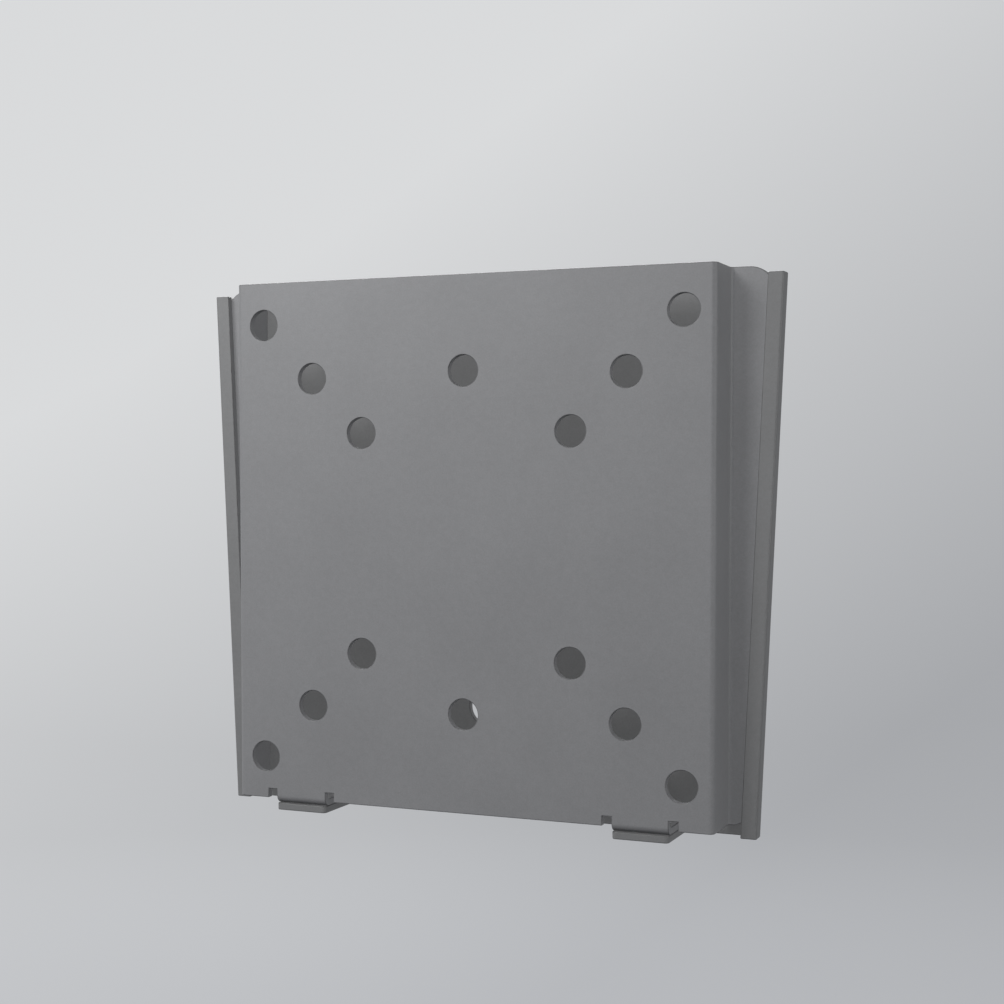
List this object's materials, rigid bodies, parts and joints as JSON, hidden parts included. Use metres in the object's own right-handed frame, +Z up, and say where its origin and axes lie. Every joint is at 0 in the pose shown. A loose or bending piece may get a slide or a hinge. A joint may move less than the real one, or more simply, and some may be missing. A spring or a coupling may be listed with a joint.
{
  "type": "tv wall mount",
  "caption": "Low-profile fixed wall mount for a flat screen: a folded plate with square hole patterns slides down into the tapered channels of a folded wall plate.",
  "frame": {"origin": "on the wall plane, behind the centre of the screen's hole pattern", "axes": "+Z up along the wall, +Y into the wall, the front face looks along -Y"},
  "size_m": [0.1374, 0.015, 0.122],
  "materials": {
    "monitor_plate_coat": "fine-grained matt powder coat, mid grey",
    "wall_plate_coat": "fine-grained matt powder coat, mid grey"
  },
  "bodies": {
    "wall": {"wall_plate": "wall_plate_coat"},
    "screen": {"monitor_plate": "monitor_plate_coat"}
  },
  "joints": [
    {"name": "lift_off", "type": "slide", "parent": "wall", "child": "screen", "axis": [0, 0, 1], "range_m": [0, 0.125]}
  ]
}
